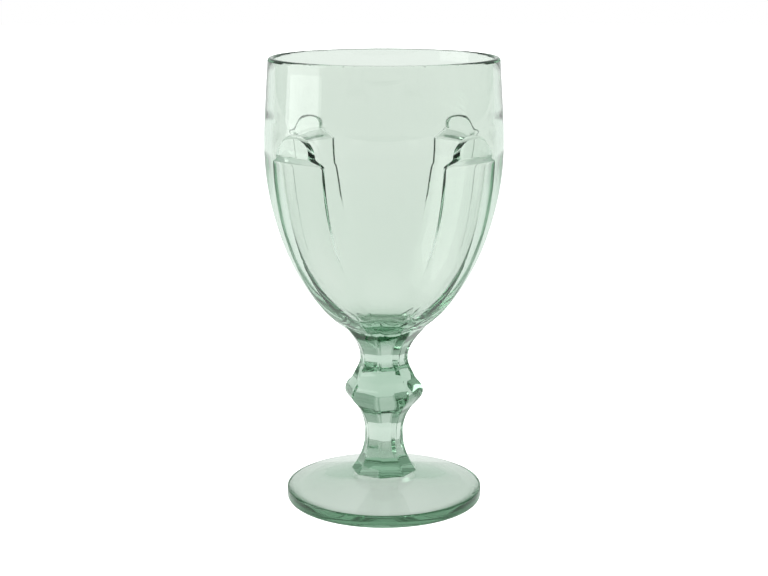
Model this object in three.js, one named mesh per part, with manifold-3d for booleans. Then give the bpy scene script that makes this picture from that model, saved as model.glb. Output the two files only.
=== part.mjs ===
import * as THREE from 'three';
import { mergeVertices } from 'three/addons/utils/BufferGeometryUtils.js';
import Module from 'manifold-3d';

const wasm = await Module();
wasm.setup();

// A pressed glass goblet in millimetres and degrees. It stands on z = 0 with its axis on z.

// Stations of the outside, from the foot up: height, radius, and slope (radius gained per height).
// The stem's radii are taken at its eight arrises, the bowl's at the middle of its panels.
const shankBase = { height: 10.6, radius: 12.2, slope: -0.73 };
const shankWaist = { height: 25, radius: 7.15, slope: 0 };
const knopGirth = { height: 41.6, radius: 14.65, slope: 0 };
const knopFootDrop = 5.6;
const knopHeadRise = 4.4;
const knopFillet = 2;
const knopFoot = { height: knopGirth.height - knopFootDrop, radius: 10.8, slope: 0.95 };
const knopHead = { height: knopGirth.height + knopHeadRise, radius: 12.4, slope: -1.15 };
const shankHead = { height: knopFoot.height - knopFillet, radius: 9.45, slope: 0.62 };
const neckFoot = { height: knopHead.height + knopFillet, radius: 11.2, slope: -0.47 };
const neckWaist = { height: 54, radius: 8.88, slope: 0 };
const neckHead = { height: 62, radius: 11.95, slope: 0.78 };
const collarTop = { height: 72, radius: 20.8, slope: 0.9 };
const domeBase = { height: 64, radius: 11.4, slope: 1.7 };
const domeLower = { height: 76, radius: 25.1, slope: 0.75 };
const domeUpper = { height: 100, radius: 37.7, slope: 0.332 };
const rim = { height: 165, radius: 41.6, slope: -0.054 };
const seamGain = 1.7;
const seam = { height: 132, radius: rim.radius + seamGain, slope: 0 };

// Foot: a disc with an upright edge and a shallow cone on top. The hollow underneath runs nearly parallel to
// the top and is rounded in the middle.
const footRadius = 36.5;
const footEdgeHeight = 5.1;
const footTopRound = 0.8;
const footBottomRound = 1.8;
const footSeatMargin = 0.4;
const hollowRadius = 32.5;
const hollowDepth = 5.4;
const hollowRound = 12;

// Stem: eight flat facets, turned a little from the bowl's panels.
const stemSides = 8;
const stemTurn = -7;
const arrisWidth = 0.7;

// Bowl: four wide round panels, and between them four pads. A pad is flatter than the wall. Low down its
// edges lie on the wall, further up they rise from it, and its arched head stands proud of the band
// above. Drops and rises are from the seam, flatness is 1 for a face that is flat across.
const padCount = 4;
const padHalfWidth = 12.8;
const padHollow = 0.3;
const padRootDrop = 47;
const padFullDrop = 17;
const rootFlatness = 0.5;
const padFlatness = 1.15;
const edgeRise = 1.4;
const headHalfWidth = 10.6;
const headShoulderDrop = 8;
const headSpringDrop = 1;
const headTopRise = 8.7;
const headRise = 1.8;
const headFlatness = 0.2;

// Ledge from a pad's edge down to the wall: a narrow side, wider where the pad stands higher.
const ledgeLeast = 0.3;
const ledgeLean = 0.3;

// Inside of the bowl: one smooth curve from the floor to the wall, then a wall that thins upwards.
const cupFloorHeight = 67.5;
const cupFloorReach = 33.5;
const cupWallReach = 5.5;
const seamWall = 2.85;
const rimWall = 2.3;
const lipRound = 1.1;

// Facets around the curved surfaces.
const turnSteps = 72;
const faceSteps = 6;
const panelSteps = 12;

const glass = { color: 0xbcd8c4, roughness: 0.05, metalness: 0, transparent: true, opacity: 0.4 };

const stemOutline = [
  shankBase, shankWaist, shankHead, knopFoot, knopGirth, knopHead, neckFoot, neckWaist, neckHead, collarTop,
];
const bowlOutline = [domeBase, domeLower, domeUpper, seam, rim];

const radians = THREE.MathUtils.degToRad;

// Radius of an outline at a height, as a cubic between the two stations around it.
function radiusAt(outline, height) {
  const last = outline.length - 2;
  const found = outline.findIndex((station, i) => i > 0 && height <= station.height);
  const i = found < 0 ? last : found - 1;
  const [low, high] = [outline[i], outline[i + 1]];
  const span = high.height - low.height;
  const t = THREE.MathUtils.clamp((height - low.height) / span, 0, 1);
  return low.radius * (1 + 2 * t) * (1 - t) ** 2
    + low.slope * span * t * (1 - t) ** 2
    + high.radius * t * t * (3 - 2 * t)
    - high.slope * span * t * t * (1 - t);
}

// Heights from one value to another in equal steps, both ends included.
function heights(from, to, steps) {
  return Array.from({ length: steps + 1 }, (_, i) => from + (to - from) * i / steps);
}

function point(radius, height) {
  return new THREE.Vector2(radius, height);
}

// Arc of a profile around a middle point, from one angle to another.
function corner(middle, radius, from, to) {
  return new THREE.EllipseCurve(middle.x, middle.y, radius, radius, radians(from), radians(to), from > to);
}

// Closed surface through rings that have the same number of points, listed from below.
function loft(rings) {
  const count = rings[0].length;
  const points = rings.flat();
  const index = [];
  for (let row = 0; row + 1 < rings.length; row++) {
    for (let i = 0; i < count; i++) {
      const a = row * count + i;
      const b = row * count + (i + 1) % count;
      index.push(a, b, b + count, a, b + count, a + count);
    }
  }
  for (const [ring, start] of [[rings[0], 0], [rings.at(-1), (rings.length - 1) * count]]) {
    const centre = points.push(new THREE.Vector3(0, 0, ring[0].z)) - 1;
    for (let i = 0; i < count; i++) {
      const [a, b] = [start + i, start + (i + 1) % count];
      index.push(...(start === 0 ? [centre, b, a] : [centre, a, b]));
    }
  }
  const geometry = new THREE.BufferGeometry().setFromPoints(points);
  geometry.setIndex(index);
  return geometry;
}

// Solid of revolution about z. Its profile is a list of curves and points given as radius and height,
// from the lower axis point up, and each curve comes with its number of steps.
function turned(parts) {
  const profile = parts.flatMap((part) => (Array.isArray(part) ? part[0].getPoints(part[1]) : part));
  const geometry = new THREE.LatheGeometry(profile, turnSteps);
  geometry.rotateX(Math.PI / 2);
  return geometry;
}

function toSolid(geometry) {
  const bare = geometry.clone();
  bare.deleteAttribute('normal');
  bare.deleteAttribute('uv');
  const merged = mergeVertices(bare, 1e-4);
  return new wasm.Manifold(new wasm.Mesh({
    numProp: 3,
    vertProperties: new Float32Array(merged.attributes.position.array),
    triVerts: new Uint32Array(merged.index.array),
  }));
}

function toGeometry(solid) {
  const mesh = solid.getMesh();
  const geometry = new THREE.BufferGeometry();
  geometry.setAttribute('position', new THREE.BufferAttribute(mesh.vertProperties, 3));
  geometry.setIndex(new THREE.BufferAttribute(mesh.triVerts, 1));
  return geometry;
}

function piece(name, geometry) {
  geometry.computeVertexNormals();
  const mesh = new THREE.Mesh(geometry, new THREE.MeshStandardMaterial(glass));
  mesh.name = name;
  return mesh;
}

// One octagonal ring of the stem, with each arris taken off by a narrow flat.
function stemRing(height) {
  const radius = radiusAt(stemOutline, height);
  const ring = [];
  for (let side = 0; side < stemSides; side++) {
    const arris = radians(stemTurn - 90 + 360 / stemSides * side);
    const offset = arrisWidth / 2 / radius;
    for (const angle of [arris - offset, arris + offset]) {
      ring.push(new THREE.Vector3(radius * Math.cos(angle), radius * Math.sin(angle), height));
    }
  }
  return ring;
}

function stemLength(name, from, to, steps) {
  return piece(name, loft(heights(from, to, steps).map(stemRing)));
}

function foot() {
  const lowCorner = point(footRadius - footBottomRound, footBottomRound);
  const highCorner = point(footRadius - footTopRound, footEdgeHeight - footTopRound);
  const hollowSlope = hollowDepth / (hollowRadius - hollowRound / 2);
  return piece('foot', turned([
    [new THREE.QuadraticBezierCurve(
      point(0, hollowDepth), point(hollowRound / 2, hollowDepth),
      point(hollowRound, hollowDepth - hollowSlope * hollowRound / 2)), 6],
    point(hollowRadius, 0),
    [corner(lowCorner, footBottomRound, -90, 0), 4],
    [corner(highCorner, footTopRound, 0, 80), 4],
    point(shankBase.radius + footSeatMargin, shankBase.height),
    point(0, shankBase.height),
  ]));
}

// One level of a pad: its outline's half width, the half width of its face inside the ledge, and the
// bowl's radius at an angle from the pad's middle. Low down every pad and panel takes an equal share of
// the turn. In the arched head the ledge follows the arch.
function padLevel(height, radius) {
  const { smoothstep, lerp, clamp } = THREE.MathUtils;
  const above = height - seam.height;
  const grown = smoothstep(above, -padRootDrop, -padFullDrop);
  const head = smoothstep(above, -headShoulderDrop, -headSpringDrop);
  const stands = lerp(edgeRise * grown, headRise, head);
  const flatness = lerp(lerp(rootFlatness, padFlatness, grown), headFlatness, head);
  const side = ledgeLeast + ledgeLean * stands;
  const headHeight = headTopRise + headSpringDrop;
  const rise = (above + headSpringDrop) / headHeight;
  const lower = Math.min(lerp(padHalfWidth, headHalfWidth, head), radius * Math.sin(Math.PI / padCount / 2));
  const arch = (reach) => headHalfWidth * Math.sqrt(Math.max(reach * reach - rise * rise, 0));
  const outer = rise > 0 ? arch(1) : lower;
  const inner = rise > 0 ? arch(Math.max(1 - side / headHeight, 0)) : lower - side;
  const sag = (width) => {
    const flat = radius / Math.sqrt(1 - (width / radius) ** 2) - radius;
    return flat + padHollow * (width / padHalfWidth) ** 2;
  };
  const radiusOn = (angle) => {
    const width = radius * Math.abs(Math.sin(angle));
    const inside = rise > 0 ? (1 - Math.hypot(width / headHalfWidth, rise)) * headHeight : lower - width;
    const face = stands - flatness * (sag(outer) - sag(width));
    return radius + face * clamp(inside / side, 0, 1);
  };
  return { outer, inner, radiusOn };
}

// One ring of the bowl's outside. Above the pads' heads it is plain and round.
function bowlRing(height) {
  const radius = radiusAt(bowlOutline, height);
  const pad = padLevel(height, radius);
  const share = Math.PI / padCount;
  const outer = Math.max(Math.asin(pad.outer / radius), share / 32);
  const inner = Math.max(Math.asin(pad.inner / radius), outer / 2);
  const ring = [];
  for (let turn = share; turn < 2 * Math.PI; turn += 2 * share) {
    const put = (angle, r) => ring.push(
      new THREE.Vector3(r * Math.cos(turn + angle), r * Math.sin(turn + angle), height));
    for (let i = 0; i <= faceSteps; i++) {
      const angle = inner * (2 * i / faceSteps - 1);
      put(angle, pad.radiusOn(angle));
    }
    for (let i = 0; i <= panelSteps; i++) {
      put(share + (share - outer) * (2 * i / panelSteps - 1), radius);
    }
  }
  return ring;
}

// The cup cut out of the bowl, opening to a half-round lip at the rim.
function cup() {
  const seamRadius = seam.radius - seamWall;
  const lipMiddle = point(rim.radius - rimWall + lipRound, rim.height - lipRound);
  return turned([
    [new THREE.CubicBezierCurve(
      point(0, cupFloorHeight), point(cupFloorReach, cupFloorHeight),
      point(seamRadius, seam.height - cupWallReach), point(seamRadius, seam.height)), 16],
    [corner(lipMiddle, lipRound, 180, 90), 3],
    point(lipMiddle.x, rim.height + 1),
    point(0, rim.height + 1),
  ]);
}

function bowl() {
  const padFull = seam.height - padFullDrop;
  const headFoot = seam.height - headSpringDrop;
  const headTop = seam.height + headTopRise;
  const rings = [
    ...heights(domeBase.height, padFull, 18),
    ...heights(padFull, headFoot, 10).slice(1),
    ...[30, 45, 57, 67, 76, 84, 90].map((turn) => headFoot + (headTop - headFoot) * Math.sin(radians(turn))),
    ...heights(headTop, rim.height - lipRound, 4).slice(1),
  ].map(bowlRing);
  const last = rings.at(-1);
  for (const turn of [30, 60, 90].map(radians)) {
    const scale = 1 - lipRound * (1 - Math.cos(turn)) / rim.radius;
    const rise = lipRound * Math.sin(turn);
    rings.push(last.map(({ x, y, z }) => new THREE.Vector3(x * scale, y * scale, z + rise)));
  }
  const dome = toSolid(loft(rings));
  const collar = toSolid(loft(heights(neckHead.height, collarTop.height, 8).map(stemRing)));
  return piece('bowl', toGeometry(dome.add(collar).subtract(toSolid(cup()))));
}

const goblet = new THREE.Group();
goblet.add(
  foot(),
  stemLength('shank', shankBase.height, knopFoot.height, 20),
  stemLength('knop', knopFoot.height, knopHead.height, 14),
  stemLength('neck', knopHead.height, neckHead.height, 14),
  bowl(),
);

export default goblet;
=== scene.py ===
import bisect
import math

import bpy
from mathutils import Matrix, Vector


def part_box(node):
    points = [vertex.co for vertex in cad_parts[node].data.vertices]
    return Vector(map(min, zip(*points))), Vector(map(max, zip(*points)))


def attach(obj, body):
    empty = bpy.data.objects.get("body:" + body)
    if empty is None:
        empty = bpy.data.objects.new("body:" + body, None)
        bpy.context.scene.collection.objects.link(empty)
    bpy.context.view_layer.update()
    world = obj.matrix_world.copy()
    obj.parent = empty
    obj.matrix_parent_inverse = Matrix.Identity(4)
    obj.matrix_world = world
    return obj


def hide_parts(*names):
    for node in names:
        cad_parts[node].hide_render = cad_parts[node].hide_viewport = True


# A pressed glass goblet on a white table in soft light. Metres, with the shape values in millimetres.
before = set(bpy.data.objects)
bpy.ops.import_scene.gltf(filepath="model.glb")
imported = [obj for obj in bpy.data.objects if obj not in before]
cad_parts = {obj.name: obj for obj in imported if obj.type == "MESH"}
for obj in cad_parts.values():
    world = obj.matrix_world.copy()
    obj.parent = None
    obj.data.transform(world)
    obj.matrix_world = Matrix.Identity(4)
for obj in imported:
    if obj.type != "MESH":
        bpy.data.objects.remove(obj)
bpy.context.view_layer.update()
mm = 0.001
eighth = math.pi / 4         # the angle from a pad's middle to a panel's middle


def deselectAll():
    bpy.ops.object.select_all(action="DESELECT")


def lowOf(node):
    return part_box(node)[0].z / mm


def highOf(node):
    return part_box(node)[1].z / mm


def smooth(value, low, high):
    t = min(max((value - low) / (high - low), 0), 1)
    return t * t * (3 - 2 * t)


def mix(a, b, share):
    return a + (b - a) * share


def steps(low, high, count):
    return [low + (high - low) * i / count for i in range(count + 1)]


footShape = {
    "radius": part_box("foot")[1].x / mm,
    "edgeHeight": 5.1,
    "topRound": 0.8,
    "topRoundTurn": 80,      # degrees, up to where the foot's top starts
    "bottomRound": 1.8,
    "hollowRadius": 32.5,
    "hollowDepth": 5.4,
    "hollowRound": 12,       # the hollow is a cone with a rounded middle
    "seatRadius": 12.6,
    "seatHeight": lowOf("shank"),
}

# An outline's stations give height, radius and slope. The stem's radii are at its arrises.
stemShape = {
    "sides": 8,
    "turn": -7.875,          # degrees from the panels' middle, a whole number of columns
    "arrisWidth": 0.7,
    "outline": [
        (lowOf("shank"), 12.2, -0.73),
        (25, 7.15, 0),
        (lowOf("knop") - 2, 9.45, 0.62),
        (lowOf("knop"), 10.8, 0.95),
        (41.6, 14.65, 0),
        (highOf("knop"), 12.4, -1.15),
        (highOf("knop") + 2, 11.2, -0.47),
        (54, 8.88, 0),
        (lowOf("bowl"), 11.95, 0.78),
        (72, 20.8, 0.9),     # the top of the collar
    ],
}

bowlShape = {
    "baseHeight": 64,
    "seamHeight": 132,       # the level line where the panels end and the plain band starts
    "rimHeight": highOf("bowl"),
    "padHalfWidth": 12.8,
    "padRootDrop": 47,       # drops and rises are from the seam
    "padFullDrop": 17,
    "padFlatness": 0.35,     # 1 is flat across, 0 is as round as the wall
    "padRise": 1.0,          # how far a pad stands out beside the ledge along its edge
    "padLedge": 0.45,        # width of that ledge
    "headHalfWidth": 9.2,
    "headFootDrop": 1.7,
    "headSpringRise": 1.3,
    "headTopRise": 8.7,
    "headFlatness": 0.2,
    "headRise": 2.4,
    "headLedge": 0.7,        # added to the ledge's width round the head, and at its top
    "crownLedge": 1.3,
    "headFade": 0.85,        # share of the rise that is gone at the top of the arch
    "collarBlend": 4,        # above the collar, where the columns have left the stem's arrises
    "bandBlend": 5,          # above the heads, where the columns have spread evenly
}
# The bowl's radii are at the panels' middle.
bowlShape["outline"] = [
    (bowlShape["baseHeight"], 11.4, 1.7),
    (76, 25.1, 0.75),
    (100, 37.7, 0.332),
    (bowlShape["seamHeight"], 43.3, 0),
    (bowlShape["rimHeight"], 41.6, -0.054),
]

cupShape = {
    "floorHeight": 67.5,
    "floorReach": 33.5,
    "wallReach": 5.5,
    "seamRadius": 40.45,
    "rimRadius": 39.3,
    "lipRound": 1.1,
}

gridShape = {
    "columns": 320,
    "faceColumns": 15,       # from a pad's middle to its ledge
    "sideColumns": 4,        # across the ledge
    "roundSteps": 6,         # on each rounded edge
    "hollowSteps": 5,
    "footTopSteps": 12,
    "stemLevels": 62,
    "bowlLevels": 50,        # up to where the pads are full
    "shoulderLevels": 20,    # from there to the foot of the heads
    "springLevels": 12,      # from there to where the arches spring
    "archLevels": 26,
    "bandLevels": 14,
    "cupBandLevels": 8,
    "cupLevels": 56,
    "seatStep": 0.05,        # from the stem's seat up to its first level
    "blankShare": 0.96,      # of the stem's radius, in the turned blank
    "heightSlack": 0.004,    # how far a vertex may lie from the row that it is found by
    "radiusSlack": 0.01,
    "weldDistance": 0.002,
    "leastShare": 1 / 32,    # of an eighth, which a head keeps at its top
    "creaseAngle": 12,       # degrees, past which an edge is sharp
}


# Radius of an outline at a height, on a smooth curve through its stations.
def radiusAt(outline, height):
    height = min(max(height, outline[0][0]), outline[-1][0])
    for low, high in zip(outline, outline[1:]):
        if height <= high[0]:
            break
    span = high[0] - low[0]
    t = (height - low[0]) / span
    return (low[1] * (1 + 2 * t) * (1 - t) ** 2 + low[2] * span * t * (1 - t) ** 2
            + high[1] * t * t * (3 - 2 * t) - high[2] * span * t * t * (1 - t))


# Eight flat facets, each arris taken off by a narrow flat.
def stemRadius(azimuth, height):
    radius = radiusAt(stemShape["outline"], height)
    half = math.pi / stemShape["sides"]
    fromArris = (azimuth - math.radians(stemShape["turn"]) + half) % (2 * half) - half
    offset = stemShape["arrisWidth"] / 2 / radius
    if abs(fromArris) < offset:
        return radius * math.cos(offset) / math.cos(fromArris)
    return radius * math.cos(half - offset) / math.cos(half - abs(fromArris))


# Azimuth of a column on the stem. The two columns beside an arris lie on the edges of its flat.
def stemAzimuth(column, height):
    perSide = gridShape["columns"] // stemShape["sides"]
    half = math.pi / stemShape["sides"]
    turnColumns = round(stemShape["turn"] / 360 * gridShape["columns"])
    place = (column - turnColumns + perSide // 2) % perSide - perSide // 2
    offset = stemShape["arrisWidth"] / 2 / radiusAt(stemShape["outline"], height)
    distance = abs(place)
    if distance > 0:
        angle = mix(offset, half, (distance - 1) / (perSide // 2 - 1))
    else:
        angle = 0
    return (column - place) * 2 * math.pi / gridShape["columns"] + math.copysign(angle, place)


# One level of a pad: how far it stands out, how flat it is, and its half width outside and inside
# the ledge. The arched head swells out of the pad and runs back into the wall at its top.
def padLevel(height):
    b = bowlShape
    above = height - b["seamHeight"]
    radius = radiusAt(b["outline"], height)
    grown = smooth(above, -b["padRootDrop"], -b["padFullDrop"])
    head = smooth(above, -b["headFootDrop"], b["headSpringRise"])
    headHeight = b["headTopRise"] - b["headSpringRise"]
    rise = (above - b["headSpringRise"]) / headHeight
    up = min(max(rise, 0), 1)
    kept = 1 - b["headFade"] * up
    ledge = b["padLedge"] + b["headLedge"] * kept + b["crownLedge"] * up ** 4
    widest = radius * math.sin(eighth / 2)
    lower = min(mix(b["padHalfWidth"], b["headHalfWidth"], head), widest)
    level = {"radius": radius, "headHeight": headHeight, "rise": rise, "lower": lower, "outer": lower,
             "stands": mix(b["padRise"] * grown, b["headRise"], head) * kept,
             "side": mix(b["padLedge"], ledge, head),
             "flatness": mix(b["padFlatness"], b["headFlatness"], head)}
    level["inner"] = lower - level["side"]
    if rise > 0:       # in the head the ledge follows the arch
        level["outer"] = b["headHalfWidth"] * math.sqrt(max(1 - rise ** 2, 0))
        left = 1 - level["side"] / headHeight
        level["inner"] = b["headHalfWidth"] * math.sqrt(max(left ** 2 - rise ** 2, 0))
    return level


# How far a flat face that touches the round wall stands clear of it at a width.
def flatGap(width, radius):
    return radius / math.sqrt(1 - (width / radius) ** 2) - radius


# Radius of the bowl's outside at an angle from a pad's middle.
def bowlRadius(angle, level):
    radius = level["radius"]
    width = radius * abs(math.sin(angle))
    if level["rise"] > 0:
        across = math.hypot(width / bowlShape["headHalfWidth"], level["rise"])
        inside = (1 - across) * level["headHeight"]
    else:
        inside = level["lower"] - width
    if inside <= 0:
        return radius
    sag = flatGap(level["outer"], radius) - flatGap(width, radius)
    face = level["stands"] - level["flatness"] * sag
    return radius + face * min(inside / level["side"], 1)


# Angle of a column from a pad's middle. Columns follow both edges of the ledge.
def columnAngle(place, level):
    g = gridShape
    octant = g["columns"] // 8
    outer = max(math.asin(level["outer"] / level["radius"]), eighth * g["leastShare"])
    inner = max(math.asin(level["inner"] / level["radius"]), outer / 2)
    distance = abs(place)
    ledgeEnd = g["faceColumns"] + g["sideColumns"]
    if distance <= g["faceColumns"]:
        angle = inner * distance / g["faceColumns"]
    elif distance <= ledgeEnd:
        angle = mix(inner, outer, (distance - g["faceColumns"]) / g["sideColumns"])
    else:
        angle = mix(outer, eighth, (distance - ledgeEnd) / (octant - ledgeEnd))
    return math.copysign(angle, place)


# Azimuth and radius of a column on the stem or the bowl. A panel's middle is in front, at azimuth 0.
def wallPoint(column, height, level):
    b = bowlShape
    azimuth = stemAzimuth(column, height)
    if height <= b["baseHeight"]:
        return azimuth, stemRadius(azimuth, height)
    collarTop = stemShape["outline"][-1][0]
    headTop = b["seamHeight"] + b["headTopRise"]
    octant = gridShape["columns"] // 8
    pad = column // (octant * 2)
    place = column - pad * octant * 2 - octant
    if height < headTop:
        onPad = columnAngle(place, level)
    else:
        spread = smooth(height, headTop, headTop + b["bandBlend"])
        onPad = mix(columnAngle(place, padLevel(headTop)), place / octant * eighth, spread)
    middle = (2 * pad + 1) * eighth
    onBowl = smooth(height, b["baseHeight"], collarTop + b["collarBlend"])
    azimuth = mix(azimuth, middle + onPad, onBowl)
    radius = bowlRadius(azimuth - middle, level)
    if height < collarTop:
        radius = max(radius, stemRadius(azimuth, height))
    return azimuth, radius


def arc(middle, size, start, end):
    turns = [math.radians(turn) for turn in steps(start, end, gridShape["roundSteps"])]
    return [(middle[0] + size * math.cos(a), middle[1] + size * math.sin(a)) for a in turns]


# From the middle of the hollow out over the rest ring and the edge, and up to the stem's seat.
def footProfile():
    f = footShape
    slope = f["hollowDepth"] / (f["hollowRadius"] - f["hollowRound"] / 2)
    points = []
    for radius in steps(0, f["hollowRound"], gridShape["roundSteps"]):
        points.append((radius, f["hollowDepth"] - slope * radius ** 2 / (2 * f["hollowRound"])))
    for radius in steps(f["hollowRound"], f["hollowRadius"], gridShape["hollowSteps"])[1:]:
        points.append((radius, slope * (f["hollowRadius"] - radius)))
    points += arc((f["radius"] - f["bottomRound"], f["bottomRound"]), f["bottomRound"], -90, 0)
    topMiddle = (f["radius"] - f["topRound"], f["edgeHeight"] - f["topRound"])
    points += arc(topMiddle, f["topRound"], 0, f["topRoundTurn"])
    edge = points[-1]
    for t in steps(0, 1, gridShape["footTopSteps"])[1:]:
        points.append((mix(edge[0], f["seatRadius"], t), mix(edge[1], f["seatHeight"], t)))
    return points


# Heights of the rows on the stem and on the bowl's outside.
def wallHeights():
    b, g = bowlShape, gridShape
    seam = b["seamHeight"]
    full = seam - b["padFullDrop"]
    headFoot = seam - b["headFootDrop"]
    spring = seam + b["headSpringRise"]
    headTop = seam + b["headTopRise"]
    heights = steps(footShape["seatHeight"] + g["seatStep"], b["baseHeight"], g["stemLevels"])
    heights += steps(b["baseHeight"], full, g["bowlLevels"])[1:]
    heights += steps(full, headFoot, g["shoulderLevels"])[1:]
    heights += steps(headFoot, spring, g["springLevels"])[1:]
    for turn in steps(0, 90, g["archLevels"])[1:]:
        heights.append(spring + (headTop - spring) * math.sin(math.radians(turn)))
    heights += steps(headTop, b["rimHeight"] - cupShape["lipRound"], g["bandLevels"])[1:]
    return heights


# From the lip down the inside to the middle of the cup's floor.
def cupProfile():
    c = cupShape
    seam = bowlShape["seamHeight"]
    outerRim = bowlShape["outline"][-1][1]
    lipHeight = bowlShape["rimHeight"] - c["lipRound"]
    points = arc((outerRim - c["lipRound"], lipHeight), c["lipRound"], 0, 90)[1:]
    points += arc((c["rimRadius"] + c["lipRound"], lipHeight), c["lipRound"], 90, 180)
    for t in steps(0, 1, gridShape["cupBandLevels"])[1:-1]:
        points.append((mix(c["rimRadius"], c["seamRadius"], t), mix(lipHeight, seam, t)))
    for t in steps(1, 0, gridShape["cupLevels"]):      # one curve from the wall to the floor
        s = 1 - t
        radius = (3 * s * s * t * c["floorReach"] + 3 * s * t * t * c["seamRadius"]
                  + t ** 3 * c["seamRadius"])
        height = ((s ** 3 + 3 * s * s * t) * c["floorHeight"] + 3 * s * t * t * (seam - c["wallReach"])
                  + t ** 3 * seam)
        points.append((radius, height))
    return points


# The turned blank: a profile drawn point by point and spun about the goblet's axis.
def turnBlank(name, profile):
    deselectAll()
    bpy.ops.mesh.primitive_plane_add(size=mm, location=(profile[0][0] * mm, 0, profile[0][1] * mm))
    blank = bpy.context.object
    blank.name = name
    bpy.ops.object.transform_apply(location=True)
    bpy.ops.object.mode_set(mode="EDIT")
    bpy.ops.mesh.merge(type="CENTER")
    for start, end in zip(profile, profile[1:]):
        bpy.ops.mesh.extrude_region_move(TRANSFORM_OT_translate={
            "value": ((end[0] - start[0]) * mm, 0, (end[1] - start[1]) * mm)})
    bpy.ops.mesh.select_all(action="SELECT")
    bpy.ops.mesh.spin(steps=gridShape["columns"], angle=2 * math.pi, center=(0, 0, 0), axis=(0, 0, 1))
    bpy.ops.mesh.select_all(action="SELECT")
    bpy.ops.mesh.remove_doubles(threshold=gridShape["weldDistance"] * mm)
    bpy.ops.mesh.normals_make_consistent(inside=False)
    bpy.ops.object.mode_set(mode="OBJECT")
    return blank


# The rows of the stem and the bowl are turned round, then each vertex moves to its facet or pad.
def shapeGlass():
    g = gridShape
    turned = []
    for height in wallHeights():
        radius = radiusAt(stemShape["outline"], height) * g["blankShare"]
        if height > bowlShape["baseHeight"]:
            radius = max(radius, radiusAt(bowlShape["outline"], height))
        turned.append((height, radius))
    wall = [(radius, height) for height, radius in turned]
    body = turnBlank("goblet_glass", footProfile() + wall + cupProfile())
    levels = [padLevel(height) for height, radius in turned]
    for vertex in body.data.vertices:
        x, y, z = (value / mm for value in vertex.co)
        row = bisect.bisect(turned, (z - g["heightSlack"], 0))
        if row == len(turned) or turned[row][0] > z + g["heightSlack"]:
            continue            # the foot, the lip or the inside
        height, radius = turned[row]
        if abs(radius - math.hypot(x, y)) > g["radiusSlack"]:
            continue
        column = round(math.atan2(x, -y) / (2 * math.pi) * g["columns"]) % g["columns"]
        azimuth, radius = wallPoint(column, height, levels[row])
        vertex.co = (radius * math.sin(azimuth) * mm, -radius * math.cos(azimuth) * mm, height * mm)
    deselectAll()
    body.select_set(True)
    bpy.context.view_layer.objects.active = body
    bpy.ops.object.shade_smooth_by_angle(angle=math.radians(g["creaseAngle"]))
    return body


glassFinish = {
    "ior": 1.5,
    "surfaceTint": (0.911, 0.918, 0.90, 1),
    "streakTint": (0.898, 0.911, 0.89, 1),
    "streakScale": 22,
    "streakStretch": (1, 1, 0.3),
    "streakDetail": 2,
    "absorbed": (0.705, 0.825, 0.75, 1),
    "absorption": 90,
    "waveScale": 70,
    "waveDetail": 1.5,
    "waveGrain": 0.35,
    "waveHeight": 0.00003,
    "wornHeight": 0.0006,    # of the rest ring, in metres
    "wornRoughness": 0.22,
    "scratchScale": 900,
}


# A node group with its input and output nodes. The sockets' kinds are Float and Color.
def newGroup(name, inputs, outputs):
    group = bpy.data.node_groups.new(name, "ShaderNodeTree")
    for side, sockets in (("INPUT", inputs), ("OUTPUT", outputs)):
        for socket, kind in sockets.items():
            group.interface.new_socket(socket, in_out=side, socket_type="NodeSocket" + kind)
    return group, group.nodes.new("NodeGroupInput"), group.nodes.new("NodeGroupOutput")


# Slow ripple that a mould leaves in pressed glass.
def mouldRipple():
    group, inside, outside = newGroup("mouldRipple", {"Scale": "Float"}, {"Height": "Float"})
    place = group.nodes.new("ShaderNodeTexCoord")
    broad = group.nodes.new("ShaderNodeTexNoise")
    broad.inputs["Detail"].default_value = glassFinish["waveDetail"]
    broad.inputs["Roughness"].default_value = glassFinish["waveGrain"]
    group.links.new(place.outputs["Object"], broad.inputs["Vector"])
    group.links.new(inside.outputs["Scale"], broad.inputs["Scale"])
    group.links.new(broad.outputs["Fac"], outside.inputs["Height"])
    return group


# Faint streaks of greener glass, long in the direction in which the melt was drawn.
def meltStreaks():
    group, inside, outside = newGroup(
        "meltStreaks", {"Clear": "Color", "Streak": "Color", "Scale": "Float"}, {"Color": "Color"})
    place = group.nodes.new("ShaderNodeTexCoord")
    stretch = group.nodes.new("ShaderNodeMapping")
    stretch.inputs["Scale"].default_value = glassFinish["streakStretch"]
    melt = group.nodes.new("ShaderNodeTexNoise")
    melt.inputs["Detail"].default_value = glassFinish["streakDetail"]
    blend = group.nodes.new("ShaderNodeMix")
    blend.data_type = "RGBA"
    group.links.new(place.outputs["Object"], stretch.inputs["Vector"])
    group.links.new(stretch.outputs["Vector"], melt.inputs["Vector"])
    group.links.new(inside.outputs["Scale"], melt.inputs["Scale"])
    group.links.new(melt.outputs["Fac"], blend.inputs["Factor"])
    group.links.new(inside.outputs["Clear"], blend.inputs["A"])
    group.links.new(inside.outputs["Streak"], blend.inputs["B"])
    group.links.new(blend.outputs["Result"], outside.inputs["Color"])
    return group


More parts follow.
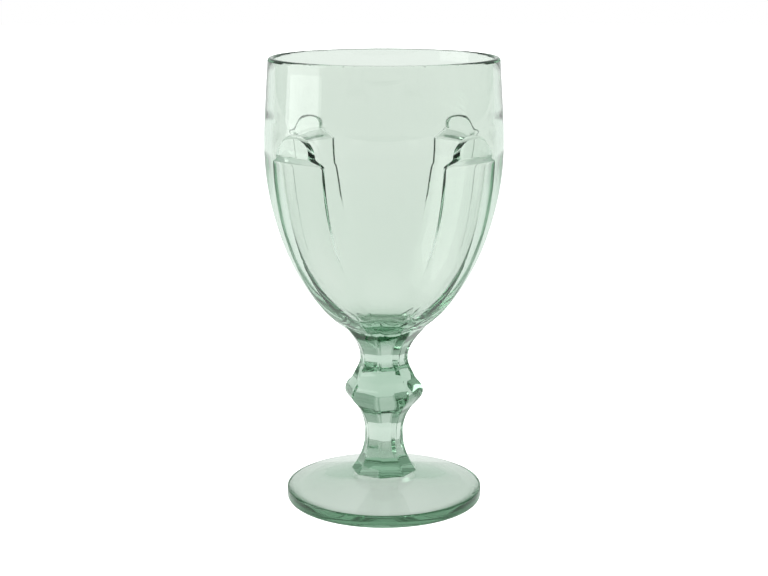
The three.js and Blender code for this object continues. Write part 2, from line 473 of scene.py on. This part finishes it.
# The rest ring is dulled by use, in fine scratches, and all above it stays bright.
def restWear():
    group, inside, outside = newGroup(
        "restWear", {"Height": "Float", "Worn": "Float"}, {"Roughness": "Float"})
    place = group.nodes.new("ShaderNodeTexCoord")
    split = group.nodes.new("ShaderNodeSeparateXYZ")
    low = group.nodes.new("ShaderNodeMapRange")
    low.inputs["From Min"].default_value = 0
    low.inputs["To Min"].default_value = 1
    low.inputs["To Max"].default_value = 0
    scratches = group.nodes.new("ShaderNodeTexNoise")
    scratches.inputs["Scale"].default_value = glassFinish["scratchScale"]
    worn = group.nodes.new("ShaderNodeMath")
    worn.operation = "MULTIPLY"
    rough = group.nodes.new("ShaderNodeMath")
    rough.operation = "MULTIPLY"
    group.links.new(place.outputs["Object"], split.inputs["Vector"])
    group.links.new(place.outputs["Object"], scratches.inputs["Vector"])
    group.links.new(split.outputs["Z"], low.inputs["Value"])
    group.links.new(inside.outputs["Height"], low.inputs["From Max"])
    group.links.new(low.outputs["Result"], worn.inputs[0])
    group.links.new(scratches.outputs["Fac"], worn.inputs[1])
    group.links.new(worn.outputs["Value"], rough.inputs[0])
    group.links.new(inside.outputs["Worn"], rough.inputs[1])
    group.links.new(rough.outputs["Value"], outside.inputs["Roughness"])
    return group


def placeGroup(nodes, group, values):
    node = nodes.new("ShaderNodeGroup")
    node.node_tree = group
    for socket, value in values.items():
        node.inputs[socket].default_value = value
    return node


def greenGlass():
    material = bpy.data.materials.new("greenGlass")
    material.use_nodes = True
    nodes, links = material.node_tree.nodes, material.node_tree.links
    shader = nodes["Principled BSDF"]
    shader.inputs["IOR"].default_value = glassFinish["ior"]
    shader.inputs["Transmission Weight"].default_value = 1
    streaks = placeGroup(nodes, meltStreaks(), {
        "Clear": glassFinish["surfaceTint"], "Streak": glassFinish["streakTint"],
        "Scale": glassFinish["streakScale"]})
    links.new(streaks.outputs["Color"], shader.inputs["Base Color"])
    wear = placeGroup(nodes, restWear(), {
        "Height": glassFinish["wornHeight"], "Worn": glassFinish["wornRoughness"]})
    links.new(wear.outputs["Roughness"], shader.inputs["Roughness"])
    ripple = placeGroup(nodes, mouldRipple(), {"Scale": glassFinish["waveScale"]})
    bump = nodes.new("ShaderNodeBump")
    bump.inputs["Distance"].default_value = glassFinish["waveHeight"]
    links.new(ripple.outputs["Height"], bump.inputs["Height"])
    links.new(bump.outputs["Normal"], shader.inputs["Normal"])
    depth = nodes.new("ShaderNodeVolumeAbsorption")
    depth.inputs["Color"].default_value = glassFinish["absorbed"]
    depth.inputs["Density"].default_value = glassFinish["absorption"]
    links.new(depth.outputs["Volume"], nodes["Material Output"].inputs["Volume"])
    return material


goblet = shapeGlass()
goblet.data.materials.append(greenGlass())
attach(goblet, "root")
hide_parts("foot", "shank", "knop", "neck", "bowl")
print("glass:", len(goblet.data.vertices), "vertices")


# White all round, dimmer beside the backdrop and behind the camera. The camera itself sees plain white.
studio = {
    "floorSize": 6,
    "floorColor": (0.6, 0.6, 0.6, 1),
    "floorRoughness": 0.9,
    "floorGlow": 0.6,
    "floorWhite": 1,         # added to the floor where the camera sees it
    "white": (1, 1, 1, 1),
    "shade": (0.55, 1, 0.7, 1),
    "around": [              # degrees round from straight behind the goblet, and brightness
        (0, 0.88), (8, 0.8), (15, 0.6), (45, 0.5), (70, 0.7), (110, 0.7), (140, 0.4), (180, 0.3),
    ],
    "top": 0.9,
    "topStart": (0.7, 0.9),  # sine of the elevation
    "panelTurn": 85,         # degrees from the camera's direction to the panel at the left
    "panelAway": 1.3,
    "panelSize": (1.0, 1.1),
    "panelPower": 7,
    "bounces": 64,
    "glossyBounces": 24,
}


def paleFloor():
    deselectAll()
    bpy.ops.mesh.primitive_plane_add(size=studio["floorSize"], location=(0, 0, 0))
    floor = bpy.context.object
    floor.name = "pale_table"
    material = bpy.data.materials.new("paleTable")
    material.use_nodes = True
    nodes, links = material.node_tree.nodes, material.node_tree.links
    shader = nodes["Principled BSDF"]
    shader.inputs["Base Color"].default_value = studio["floorColor"]
    shader.inputs["Roughness"].default_value = studio["floorRoughness"]
    shader.inputs["Specular IOR Level"].default_value = 0
    shader.inputs["Emission Color"].default_value = studio["white"]
    direct = nodes.new("ShaderNodeLightPath")
    glow = nodes.new("ShaderNodeMath")
    glow.operation = "MULTIPLY_ADD"
    glow.inputs[1].default_value = studio["floorWhite"]
    glow.inputs[2].default_value = studio["floorGlow"]
    links.new(direct.outputs["Is Camera Ray"], glow.inputs[0])
    links.new(glow.outputs["Value"], shader.inputs["Emission Strength"])
    floor.data.materials.append(material)


def softTent():
    world = bpy.data.worlds.new("softTent")
    bpy.context.scene.world = world
    world.use_nodes = True
    nodes, links = world.node_tree.nodes, world.node_tree.links

    def combine(operation, first, second):
        node = nodes.new("ShaderNodeMath")
        node.operation = operation
        for socket, value in zip(node.inputs, (first, second)):
            if isinstance(value, (int, float)):
                socket.default_value = value
            else:
                links.new(value, socket)
        return node.outputs["Value"]

    place = nodes.new("ShaderNodeTexCoord")
    split = nodes.new("ShaderNodeSeparateXYZ")
    links.new(place.outputs["Generated"], split.inputs["Vector"])
    turn = combine("ARCTAN2", combine("ABSOLUTE", split.outputs["X"], 0), split.outputs["Y"])
    around = nodes.new("ShaderNodeValToRGB")
    links.new(combine("DIVIDE", turn, math.pi), around.inputs["Fac"])
    stops = around.color_ramp.elements
    stops.remove(stops[1])
    for degrees, bright in studio["around"]:
        stop = stops[0] if degrees == 0 else stops.new(degrees / 180)
        stop.color = (bright, bright, bright, 1)
    above = nodes.new("ShaderNodeMapRange")
    above.inputs["From Min"].default_value = studio["topStart"][0]
    above.inputs["From Max"].default_value = studio["topStart"][1]
    above.inputs["To Min"].default_value = 0
    above.inputs["To Max"].default_value = studio["top"]
    links.new(split.outputs["Z"], above.inputs["Value"])
    direct = nodes.new("ShaderNodeLightPath")
    light = combine("MAXIMUM", around.outputs["Color"], above.outputs["Result"])
    light = combine("MAXIMUM", light, direct.outputs["Is Camera Ray"])
    links.new(light, nodes["Background"].inputs["Strength"])
    tone = nodes.new("ShaderNodeMix")
    tone.data_type = "RGBA"
    tone.inputs["A"].default_value = studio["shade"]
    tone.inputs["B"].default_value = studio["white"]
    links.new(light, tone.inputs["Factor"])
    links.new(tone.outputs["Result"], nodes["Background"].inputs["Color"])


# A soft panel at the left, which shows as a white patch on the bowl's shoulder.
def sidePanel():
    turn = math.radians(studio["panelTurn"])
    width, height = studio["panelSize"]
    bpy.ops.object.light_add(type="AREA", rotation=(math.pi / 2, 0, -turn), location=(
        -studio["panelAway"] * math.sin(turn), -studio["panelAway"] * math.cos(turn), height / 2))
    panel = bpy.context.object
    panel.name = "side_panel"
    panel.data.shape = "RECTANGLE"
    panel.data.size = width
    panel.data.size_y = height
    panel.data.energy = studio["panelPower"]
    panel.visible_camera = False


cameraStand = {
    "place": (0, -0.5878, 0.2103),
    "tilt": 77.531,          # degrees up from straight down
    "sensorWidth": 36,
    "lens": 76.61,
    "nearest": 0.01,
}


def standCamera():
    camera = bpy.data.objects.new("camera", bpy.data.cameras.new("camera"))
    bpy.context.scene.collection.objects.link(camera)
    camera.location = cameraStand["place"]
    camera.rotation_euler = (math.radians(cameraStand["tilt"]), 0, 0)
    camera.data.sensor_width = cameraStand["sensorWidth"]
    camera.data.lens = cameraStand["lens"]
    camera.data.clip_start = cameraStand["nearest"]
    bpy.context.scene.camera = camera


paleFloor()
softTent()
sidePanel()
standCamera()
scene = bpy.context.scene
scene.view_settings.view_transform = "Standard"
scene.cycles.max_bounces = studio["bounces"]
scene.cycles.transmission_bounces = studio["bounces"]
scene.cycles.glossy_bounces = studio["glossyBounces"]
print("studio ready")
